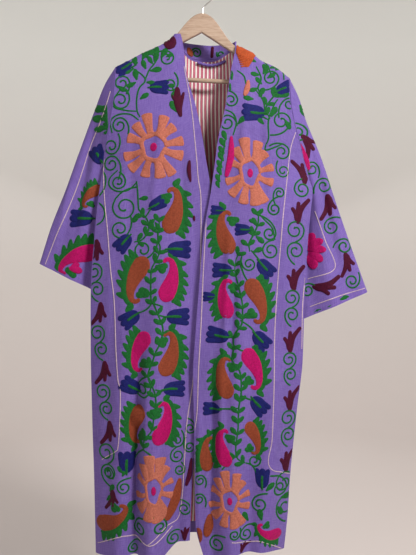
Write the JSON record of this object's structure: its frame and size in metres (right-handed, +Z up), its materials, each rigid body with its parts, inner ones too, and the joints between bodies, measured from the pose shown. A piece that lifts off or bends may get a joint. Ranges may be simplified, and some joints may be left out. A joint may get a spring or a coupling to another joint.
{
  "type": "long jacket on hanger",
  "caption": "Long open-front embroidered cotton jacket with wide three-quarter sleeves, hanging on a wooden hanger with a trouser bar and a steel hook",
  "frame": {"origin": "inside top of the hanger's hook, where a rail carries it", "axes": "+Z up, the jacket's open front faces -Y, +X is the wearer's left"},
  "size_m": [0.8351, 0.1632, 1.4182],
  "materials": {
    "purple_cotton": "matt woven cotton",
    "striped_lining": "matt striped cotton",
    "lacquered_wood": "clear lacquer",
    "bright_steel": "polished wire"
  },
  "bodies": {
    "root": {"back": "purple_cotton", "front_right": "purple_cotton", "front_left": "purple_cotton", "sleeve_right": "purple_cotton", "sleeve_left": "purple_cotton", "collar": "purple_cotton", "lining_back": "striped_lining", "hanging_loop": "purple_cotton", "hanger_wood": "lacquered_wood", "hanger_bar": "lacquered_wood", "hanger_hook": "bright_steel"}
  },
  "joints": []
}
